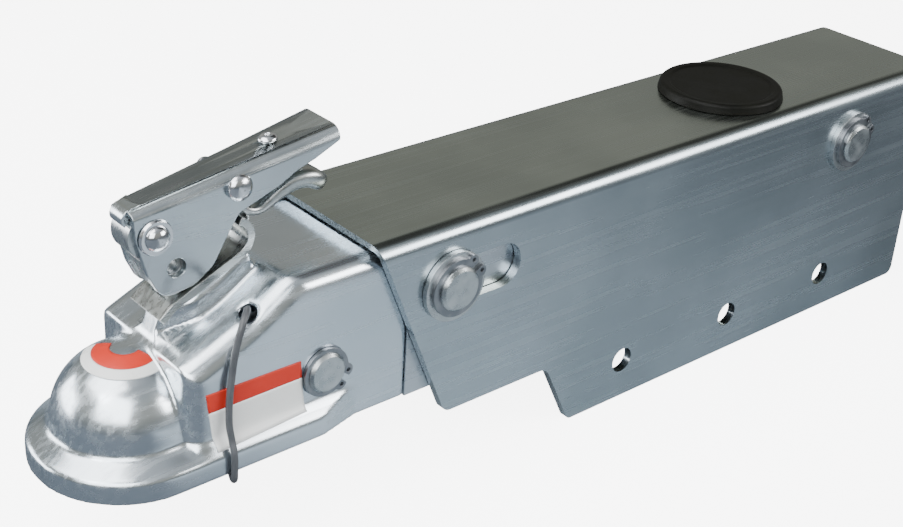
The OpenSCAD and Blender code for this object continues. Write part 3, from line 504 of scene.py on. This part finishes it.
def coil_nodes():
    """A wire wound round Z: a spiral with a round section."""
    group = GrownGroup("wound_wire", [("Float", "Turns", 3.0), ("Float", "Coil Radius", 0.008),
                                      ("Float", "Rise", 0.02), ("Float", "Wire Radius", 0.001),
                                      ("Int", "Sides", 12)])
    inside = group.inside
    spiral = group.add("GeometryNodeCurveSpiral")
    spiral.inputs["Resolution"].default_value = 40
    ring = group.add("GeometryNodeCurvePrimitiveCircle")
    skin = group.add("GeometryNodeCurveToMesh")
    skin.inputs["Fill Caps"].default_value = True
    smooth = group.add("GeometryNodeSetShadeSmooth")
    link_all(group.tree, [
        (inside["Turns"], spiral.inputs["Rotations"]), (inside["Coil Radius"], spiral.inputs["Start Radius"]),
        (inside["Coil Radius"], spiral.inputs["End Radius"]), (inside["Rise"], spiral.inputs["Height"]),
        (inside["Sides"], ring.inputs["Resolution"]), (inside["Wire Radius"], ring.inputs["Radius"]),
        (spiral.outputs[0], skin.inputs["Curve"]), (ring.outputs[0], skin.inputs["Profile Curve"]),
        (skin.outputs[0], smooth.inputs["Geometry"])])
    return group.close(smooth.outputs[0])


def bead_nodes():
    """A weld bead along X: overlapping drops, each a little different."""
    group = GrownGroup("weld_bead", [("Float", "Length", 0.03), ("Int", "Drops", 14),
                                     ("Float", "Drop Radius", 0.002), ("Int", "Seed", 3)])
    inside = group.inside
    line = group.add("GeometryNodeCurvePrimitiveLine")
    end = group.add("ShaderNodeCombineXYZ")
    spots = group.add("GeometryNodeCurveToPoints")
    drop = group.add("GeometryNodeMeshIcoSphere")
    drop.inputs["Subdivisions"].default_value = 3
    squash = group.add("FunctionNodeRandomValue")
    squash.data_type = "FLOAT_VECTOR"
    squash.inputs[0].default_value = (0.62, 0.9, 0.44)
    squash.inputs[1].default_value = (0.82, 1.12, 0.58)
    put = group.add("GeometryNodeInstanceOnPoints")
    smooth = group.add("GeometryNodeSetShadeSmooth")
    link_all(group.tree, [
        (inside["Length"], end.inputs["X"]), (end.outputs[0], line.inputs["End"]),
        (inside["Drops"], spots.inputs["Count"]), (inside["Drop Radius"], drop.inputs["Radius"]),
        (inside["Seed"], squash.inputs["Seed"]), (line.outputs[0], spots.inputs["Curve"]),
        (spots.outputs["Points"], put.inputs["Points"]), (drop.outputs[0], smooth.inputs["Geometry"]),
        (smooth.outputs[0], put.inputs["Instance"]), (squash.outputs[0], put.inputs["Scale"])])
    return group.close(put.outputs[0])


# Springs and thread
COIL, BEAD = coil_nodes(), bead_nodes()
LATCH_TILT = math.radians(24)
LATCH_DOWN = (math.sin(LATCH_TILT), 0, -math.cos(LATCH_TILT))
LATCH_ACROSS = (-math.cos(LATCH_TILT), 0, -math.sin(LATCH_TILT))


def on_latch(s):
    """The point of the latch bolt's axis that lies s millimetres below the pivot."""
    return (PIVOT[0] + s * LATCH_DOWN[0], 0, PIVOT[1] + s * LATCH_DOWN[2])


def coil(name, origin, x_axis, z_axis, turns, radius, rise, wire, body, slot, sides=12):
    mesh = GrownGroup.grow(COIL, {"Turns": turns, "Coil Radius": radius / 1000, "Rise": rise / 1000,
                                  "Wire Radius": wire / 1000, "Sides": sides, "Material": MADE[slot]})
    return set_down(name, mesh, body, slot, frame_at(origin, x_axis, z_axis))


latch_coil = coil("latch_spring_coil", on_latch(55.78), LATCH_ACROSS, LATCH_DOWN, 3.0, 8.9, 16.7, 1.3,
                  "slide", "spring_steel")
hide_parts("latch_spring")
return_coil = coil("return_spring_coil", PISTON_SEAT, (0, 0, -1), ALONG_X, 7.0, 5.92, 48.2, 0.8,
                   "slide", "spring_steel")
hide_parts("return_spring")
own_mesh(return_coil)
trigger_coil = coil("trigger_spring_coil", (TRIGGER_AXIS[0], 3.6, TRIGGER_AXIS[1]), ALONG_X, ALONG_Y,
                    3.5, 4.0, 4.4, 0.6, "handle", "spring_steel")
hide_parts("trigger_spring")
coil("bolt_thread", on_latch(92.6), LATCH_ACROSS, LATCH_DOWN, 4.0, 5.9, 5.8, 0.42,
     "latch", "hardware_zinc", 4)


# Weld beads
BEAD_RADIUS = 2.3
SHELF_WELD_LENGTH, HEAD_WELD_LENGTH = 34, 44


def bead(name, start, along, up, length, drops, seed, body, slot):
    mesh = GrownGroup.grow(BEAD, {"Length": length / 1000, "Drops": drops, "Drop Radius": BEAD_RADIUS / 1000,
                                  "Seed": seed, "Material": MADE[slot]})
    set_down(name, mesh, body, slot, frame_at(start, along, up))


for side, label in ((-1, "near"), (1, "far")):
    for place, x, seed in (("front", 190, 5), ("rear", 286, 9)):
        bead(f"shelf_weld_{place}_{label}", (x, side * 39.6, -78.5), ALONG_X, (0, -side, -1),
             SHELF_WELD_LENGTH, 16, seed + side, "case", "raw_steel")
    bead("head_weld_" + label, (22, side * 34.5, -80), (0, 0, 1), (0, -side, 0),
         HEAD_WELD_LENGTH, 20, 13 + side, "slide", "slide_zinc")


# Pieces that take a node's mesh and refine it
def merged(node):
    """A copy of a node's mesh with its loose triangles joined."""
    work = bmesh.new()
    work.from_mesh(nodes[node].data)
    bmesh.ops.remove_doubles(work, verts=work.verts, dist=1e-6)
    mesh = bpy.data.meshes.new(node)
    work.to_mesh(mesh)
    work.free()
    return mesh


# Edges that bend by more degrees than this stay sharp
CREASE = 35
# A face of the handle whose normal has more of Y than this is part of a flat leg
SIDE_FACE = 0.9975


def replacement(node, name, mesh, body, material, place, crease=None):
    """The mesh, with place moving each point in the drawing's millimetres, stands for the node."""
    origin = at(0, 0, 0)
    for vertex in mesh.vertices:
        vertex.co = at(*place((vertex.co - origin) * 1000))
    for face in mesh.polygons:
        face.use_smooth = True
    if crease:
        mesh.set_sharp_from_angle(angle=math.radians(crease))
        for face in mesh.polygons:
            if abs(face.normal.y) > SIDE_FACE:
                face.use_smooth = False
    mesh.materials.clear()
    mesh.materials.append(MADE[material])
    obj = set_down(name, mesh, body, material)
    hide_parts(node)
    return obj


def rounded(mesh, voxel, rounds):
    """The mesh with its inner and outer corners rounded, as a press leaves them."""
    holder = helper(mesh)
    grid = holder.modifiers.new("grid", "REMESH")
    grid.mode = "VOXEL"
    grid.voxel_size = voxel
    soften = holder.modifiers.new("soften", "SMOOTH")
    soften.factor = 0.5
    soften.iterations = rounds
    return evaluated_mesh(holder)


def ease(value, low, high):
    t = min(1.0, max(0.0, (value - low) / (high - low)))
    return t * t * (3 - 2 * t)


HEAD_GRID, HEAD_ROUNDS = 0.0011, 16
SHOULDER_RISE = 4.2
PEDESTAL_HALF = 14
PEDESTAL_NARROWING = 0.55


def head_forms(p):
    """The shoulder rises to just under the case's top, and the pedestal narrows towards the ball."""
    x, y, z = p
    z += SHOULDER_RISE * ease(x, -68, -38) * min(1.0, max(0.0, (z + 45) / 34))
    if abs(y) < PEDESTAL_HALF:
        y *= 1 - PEDESTAL_NARROWING * ease(-x, 74, 92) * ease(z, -38, -28)
    return x, y, z


head_skin = replacement("coupler_head", "head_skin", rounded(merged("coupler_head"), HEAD_GRID, HEAD_ROUNDS),
                        "slide", "head_zinc", head_forms)

# The solid's handle: half its width, half the flat of its top, and the line of its top's outer face
HANDLE_HALF = 15
HANDLE_FLAT = 10.5
HANDLE_TOP, HANDLE_TOP_X, HANDLE_SLOPE = 39, -110, 0.097
# Where it ends at the rear, how long it is, and half the width of the strip at its nose
HANDLE_END = -1.8
HANDLE_LENGTH = 102
NOSE_STRIP_HALF = 11
# What the real one has on top of that: wider folds, and a nose that is narrower, lower and shorter
FOLD_REACH = 4.7
FOLD_GROWTH = 1.35
HANDLE_TAPER = 0.0536
NOSE_DROP = 7.0
NOSE_START, NOSE_LENGTH = -95, 0.55
# Nothing is lowered below this height, or this near to the axes of its two holes
LEG_FOOT = 20
PIVOT_CLEAR, TRIGGER_CLEAR = 7, 5.5


def handle_inset(x):
    """How much nearer each leg lies to the middle than at the handle's rear end."""
    return max(0.0, (HANDLE_END - x) * HANDLE_TAPER)


def tapered_handle(p):
    """The folded handle, narrower and lower towards its nose; its holes keep their places."""
    x, y, z = p
    inset = handle_inset(x)
    top = HANDLE_TOP + (x - HANDLE_TOP_X) * HANDLE_SLOPE
    aside, drop = HANDLE_HALF - abs(y), top - z
    on_strip = abs(abs(y) - NOSE_STRIP_HALF) < 0.01
    if aside < FOLD_REACH and drop < FOLD_REACH and not on_strip:
        y, z = math.copysign(HANDLE_HALF - FOLD_GROWTH * aside, y), top - FOLD_GROWTH * drop
    if abs(y) >= HANDLE_FLAT:
        y = math.copysign(abs(y) - inset, y)
    else:
        y *= (HANDLE_FLAT - inset) / HANDLE_FLAT
    off_pivot = math.hypot(x - PIVOT[0], z - PIVOT[1]) - PIVOT_CLEAR
    off_trigger = math.hypot(x - TRIGGER_AXIS[0], z - TRIGGER_AXIS[1]) - TRIGGER_CLEAR
    if min(off_pivot, off_trigger) > 0:
        height = min(1.0, max(0.0, (z - LEG_FOOT) / (top - LEG_FOOT)))
        z -= NOSE_DROP * (HANDLE_END - x) / HANDLE_LENGTH * height
    if x < NOSE_START:
        x = NOSE_START + (x - NOSE_START) * NOSE_LENGTH
    return x, y, z


def tapered_rivet(axis, shank, near_head, far_head):
    """Moves a rivet's heads in to the tapered legs; shank and heads are shares of the solid's sizes."""
    x0, z0 = axis
    inset = handle_inset(x0)

    def place(p):
        x, y, z = p
        size = shank if abs(y) < HANDLE_HALF + 0.15 else near_head if y < 0 else far_head
        return x0 + (x - x0) * size, math.copysign(abs(y) - inset, y), z0 + (z - z0) * size
    return place


def lowered_stud(p):
    """The stud sits on the lowered top of the tapered handle."""
    return p[0] - 0.4, p[1] * 0.9, p[2] - 2.0


for node, name, finish, place in (
        ("latch_handle", "folded_handle", "handle_zinc", tapered_handle),
        ("handle_stud", "lock_stud", "bright_steel", lowered_stud),
        ("handle_rivet", "pivot_rivet", "bright_steel", tapered_rivet(PIVOT, 0.97, 0.9, 0.9)),
        ("trigger_rivet", "finger_rivet", "bright_steel", tapered_rivet(TRIGGER_AXIS, 0.6, 1.0, 0.66))):
    replacement(node, name, merged(node), "handle", finish, place, CREASE)


# The finger trigger
def strap(name, line, body, material, sides=20):
    """A flat bar with round edges along a line of (x, z, width, thickness)."""
    points, faces = [], []
    centre = through([Vector((x, 0, z)) for x, z, _, _ in line], 5)
    section = through([Vector((width, 0, thickness)) for _, _, width, thickness in line], 5)
    last = len(centre) - 1
    for i, c in enumerate(centre):
        run = (centre[min(i + 1, last)] - centre[max(i - 1, 0)]).normalized()
        up = Vector((-run.z, 0, run.x))
        for j in range(sides):
            a = 2 * math.pi * j / sides
            across = math.copysign(abs(math.cos(a)) ** 0.45, math.cos(a)) * section[i].x / 2
            rise = math.copysign(abs(math.sin(a)) ** 0.7, math.sin(a)) * section[i].z / 2
            points.append(at(*(c + Vector((0, across, 0)) + up * rise)))
    for i in range(last):
        for j in range(sides):
            k = (j + 1) % sides
            faces.append((i * sides + j, (i + 1) * sides + j, (i + 1) * sides + k, i * sides + k))
    faces.append(tuple(range(sides)))
    faces.append(tuple(last * sides + j for j in range(sides - 1, -1, -1)))
    return piece(name, points, faces, body, material)


finger = strap("finger_strap", [
    (-53.4, 28.6, 10, 3), (-50.6, 22.8, 11, 3.6), (-46.6, 17.8, 12, 4), (-42, 14.8, 12, 4.6),
    (-37, 14.6, 12, 5), (-31.5, 17.2, 12.4, 6.2), (-25, 21, 14, 7.4), (-18, 23.6, 16, 8.6),
    (-11.5, 23.4, 17.5, 9.4), (-6.4, 20.8, 17, 9.2), (-3.6, 19, 14, 7.4), (-2.4, 18, 6, 3),
], "trigger", "keeper_zinc")
claw = strap("finger_claw", [(-43.4, 15, 8, 2), (-43.4, 10, 8, 2), (-43.7, 4, 8, 1.9), (-45, 0.5, 7.4, 1.8),
                             (-46.6, -1.2, 6, 1.5)], "trigger", "keeper_zinc")


# Turned pieces: the cable's ferrule and the trigger's eye
def lathe(name, profile, matrix, body, slot, steps=32):
    """Turns a profile of (radius, height) in millimetres round Z."""
    points, faces = [], []
    for r, h in profile:
        for i in range(steps):
            a = 2 * math.pi * i / steps
            points.append(matrix @ Vector((r / 1000 * math.cos(a), r / 1000 * math.sin(a), h / 1000)))
    for j in range(len(profile) - 1):
        for i in range(steps):
            k = (i + 1) % steps
            faces.append((j * steps + i, j * steps + k, (j + 1) * steps + k, (j + 1) * steps + i))
    faces.append(tuple(range(steps - 1, -1, -1)))
    faces.append(tuple((len(profile) - 1) * steps + i for i in range(steps)))
    return piece(name, points, faces, body, slot)


path = cable_path()
cable = cord_curve("cable_line", path, CABLE_D)
cable.data.materials.append(MADE["cable_jacket"])
ferrule = lathe("cable_end", [(2.2, -6.35), (2.85, -5.9), (2.9, -5.2), (2.6, -4.9), (2.6, -4.3), (2.9, -4.0),
                              (2.85, -3.0), (2.2, -2.5)],
                frame_at((CABLE_HOLE[0], 0, CABLE_HOLE[1]), ALONG_X, ALONG_Y), "slide", "bright_steel")
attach(cable, "slide")
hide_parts("breakaway_cable", "cable_coil")

finger_eye = lathe("finger_eye", [(2.85, -8.6), (4.5, -8.6), (4.8, -8.3), (4.8, 2.2), (4.5, 2.5),
                                  (2.85, 2.5)],
                   frame_at((TRIGGER_AXIS[0], 0, TRIGGER_AXIS[1]), ALONG_X, ALONG_Y),
                   "trigger", "keeper_zinc")
for obj in (finger, claw, finger_eye):
    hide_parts("trigger")

# The bare stickers: a band over a field on the head's side, and two rings on the dome
STICKER_HALF, STICKER_LIFT = 0.00012, 0.0002
SIDE_LABEL_TOP = (Vector((-88.9, 0, -45.9)), Vector((-39.4, 0, -46.1)))
SIDE_LABEL_FOOT = (Vector((-85.4, 0, -74.7)), Vector((-37.3, 0, -72.4)))
BAND_SHARE = 0.33
DOME_LABEL_RADIUS = 34.35
DOME_LABEL_START, DOME_LABEL_SWEEP = -57, -186


def sticker(name, material, rows, cols, spot):
    """A thin closed sticker over a grid; spot gives the point and normal at shares u and v of the way."""
    grid = [spot(j / (cols - 1), i / (rows - 1)) for i in range(rows) for j in range(cols)]
    points = [p + n * STICKER_HALF for p, n in grid] + [p - n * STICKER_HALF for p, n in grid]
    half = rows * cols
    faces = []
    for i in range(rows - 1):
        for j in range(cols - 1):
            a = i * cols + j
            b, c, d = a + 1, a + cols + 1, a + cols
            faces += [(a, b, c, d), (half + d, half + c, half + b, half + a)]
    rim = ([(0, j) for j in range(cols)] + [(i, cols - 1) for i in range(1, rows)]
           + [(rows - 1, j) for j in range(cols - 2, -1, -1)] + [(i, 0) for i in range(rows - 2, 0, -1)])
    for (i, j), (k, m) in zip(rim, rim[1:] + rim[:1]):
        a, b = i * cols + j, k * cols + m
        faces.append((b, a, half + a, half + b))
    obj = piece(name, points, faces, "slide", material, "head_zinc")
    if obj.data.polygons[0].normal.dot(grid[0][1]) < 0:
        obj.data.flip_normals()


def side_label():
    mesh = head_skin.data
    head = BVHTree.FromPolygons([v.co.copy() for v in mesh.vertices],
                                [tuple(face.vertices) for face in mesh.polygons])

    def part(name, low, high, material):
        def spot(u, v):
            p = SIDE_LABEL_TOP[0].lerp(SIDE_LABEL_TOP[1], u).lerp(
                SIDE_LABEL_FOOT[0].lerp(SIDE_LABEL_FOOT[1], u), low + (high - low) * v)
            hit, normal, _, _ = head.ray_cast(at(p.x, -60, p.z), Vector(ALONG_Y))
            return hit + normal * STICKER_LIFT, normal
        sticker(name, material, 13, 37, spot)

    part("side_label_band", 0.0, BAND_SHARE, "label_orange")
    part("side_label_field", BAND_SHARE, 1.0, "label_white")


def dome_label():
    def part(name, low, high, material):
        def spot(u, v):
            polar = math.radians(low + (high - low) * v)
            turn = math.radians(DOME_LABEL_START + DOME_LABEL_SWEEP * u)
            n = Vector((math.sin(polar) * math.cos(turn), math.sin(polar) * math.sin(turn), math.cos(polar)))
            return at(*(Vector(DOME_CENTRE) + n * DOME_LABEL_RADIUS)), n
        sticker(name, material, 9, 49, spot)

    part("dome_label_inner", 11.0, 25.0, "label_orange")
    part("dome_label_rim", 25.0, 33.5, "label_white")


side_label()
dome_label()

# Floor, backdrop and studio light
FLOOR_HALF, FLOOR_Z = 7.0, -0.0236
FLOOR_GLOW, BACKDROP_GLOW = 6.0, 6.2
# What the steel mirrors of the floor: darkest in front, pale under the head, dark again to the rear
FLOOR_FRONT, FLOOR_PALE, FLOOR_REAR = (0.11, 0.125, 0.145, 1), (0.40, 0.45, 0.49, 1), (0.10, 0.11, 0.12, 1)
FRONT_EDGE, REAR_EDGE = (-0.37, -0.2), (-0.35, 0.42)
# What it mirrors of the room, from straight down at 0 to straight up at 1
ROOM_TONES = [(0.0, (0.4, 0.4, 0.4)), (0.5, (0.2, 0.22, 0.23)), (0.6, (0.3, 0.31, 0.29)),
              (0.68, (0.38, 0.38, 0.35)), (0.77, (0.36, 0.36, 0.33)), (0.86, (0.36, 0.39, 0.4)),
              (0.93, (0.4, 0.43, 0.45)), (1.0, (0.6, 0.63, 0.66))]
FLAG_WAY = (0.62, 0.16, 0.77)
FLAG_EDGE = (0.89, 0.965)
FLAG_TONE = (0.05, 0.05, 0.05, 1)


def floor_material():
    """White to the camera; what the steel mirrors of it is darker, above all in front and at the rear."""
    material = bpy.data.materials.new("pale_floor")
    material.use_nodes = True
    tree = material.node_tree
    shown = tree.nodes["Principled BSDF"]
    for label, value in (("Base Color", (0.9, 0.9, 0.9, 1)), ("Roughness", 0.9), ("Specular IOR Level", 0.1),
                         ("Emission Color", (1, 1, 1, 1)), ("Emission Strength", FLOOR_GLOW)):
        shown.inputs[label].default_value = value
    mirrored = tree.nodes.new("ShaderNodeBsdfDiffuse")
    parts = tree.nodes.new("ShaderNodeSeparateXYZ")
    tree.links.new(tree.nodes.new("ShaderNodeTexCoord").outputs["Object"], parts.inputs[0])
    rear = spread(tree, parts.outputs["X"], *REAR_EDGE)
    front = spread(tree, parts.outputs["X"], *FRONT_EDGE)
    pale = blend_colours(tree, rear, FLOOR_PALE, FLOOR_REAR)
    tree.links.new(blend_colours(tree, front, FLOOR_FRONT, pale), mirrored.inputs["Color"])
    for_camera(tree, shown, mirrored, tree.nodes["Material Output"])
    return material


def add_floor():
    mesh = bpy.data.meshes.new("floor")
    corners = [(x * FLOOR_HALF, y * FLOOR_HALF, FLOOR_Z) for x, y in ((-1, -1), (1, -1), (1, 1), (-1, 1))]
    mesh.from_pydata(corners, [], [(0, 1, 2, 3)])
    mesh.materials.append(floor_material())
    floor = bpy.data.objects.new("floor", mesh)
    scene.collection.objects.link(floor)


def add_world():
    """A pale backdrop for the camera, and soft bands of light with one dark flag for the steel to mirror."""
    world = bpy.data.worlds.new("studio")
    world.use_nodes = True
    tree = world.node_tree
    tree.nodes.clear()
    out = tree.nodes.new("ShaderNodeOutputWorld")
    room = tree.nodes.new("ShaderNodeBackground")
    way = tree.nodes.new("ShaderNodeTexCoord").outputs["Generated"]
    parts = tree.nodes.new("ShaderNodeSeparateXYZ")
    tree.links.new(way, parts.inputs[0])
    ramp = tree.nodes.new("ShaderNodeValToRGB")
    ramp.color_ramp.interpolation = "EASE"
    while len(ramp.color_ramp.elements) < len(ROOM_TONES):
        ramp.color_ramp.elements.new(0.5)
    for stop, (height, colour) in zip(ramp.color_ramp.elements, ROOM_TONES):
        stop.position = height
        stop.color = (*colour, 1)
    tree.links.new(spread(tree, parts.outputs["Z"], -1.0, 1.0, smooth=False), ramp.inputs[0])
    # The dark flag above the rear end draws the dark line beside the bright fold
    flag = tree.nodes.new("ShaderNodeVectorMath")
    flag.operation = "DOT_PRODUCT"
    flag.inputs[1].default_value = Vector(FLAG_WAY).normalized()
    tree.links.new(way, flag.inputs[0])
    inside = spread(tree, flag.outputs["Value"], *FLAG_EDGE)
    tree.links.new(blend_colours(tree, inside, ramp.outputs[0], FLAG_TONE), room.inputs["Color"])
    backdrop = tree.nodes.new("ShaderNodeBackground")
    backdrop.inputs["Color"].default_value = (1, 1, 1, 1)
    backdrop.inputs["Strength"].default_value = BACKDROP_GLOW
    for_camera(tree, backdrop, room, out)
    scene.world = world


def add_light(name, way, distance, size, power, colour=(1, 1, 1), target=(-0.36, 0, 0.05)):
    """A soft panel that lights the target from a direction and a distance in metres."""
    data = bpy.data.lights.new(name, "AREA")
    data.shape = "RECTANGLE"
    data.size, data.size_y = size
    data.energy = power
    data.color = colour
    light = bpy.data.objects.new(name, data)
    way = Vector(way).normalized()
    light.location = Vector(target) + way * distance
    light.rotation_euler = way.to_track_quat("Z", "Y").to_euler()
    scene.collection.objects.link(light)


add_floor()
add_world()
add_light("key_left", (-0.45, 0.1, 0.9), 1.7, (1.5, 1.3), 34, target=(-0.36, 0, 0.08))
add_light("fold_glow", (0.6, -0.66, 0.42), 1.8, (1.1, 0.7), 26, target=(-0.12, 0, 0.06))
add_light("rim_left", (-0.66, 0.72, 0.14), 2.3, (1.7, 1.0), 40, (0.96, 0.98, 1.0))
add_light("fill_front", (-0.68, -0.5, 0.6), 2.2, (2.0, 1.5), 58, (0.95, 0.98, 1.0))
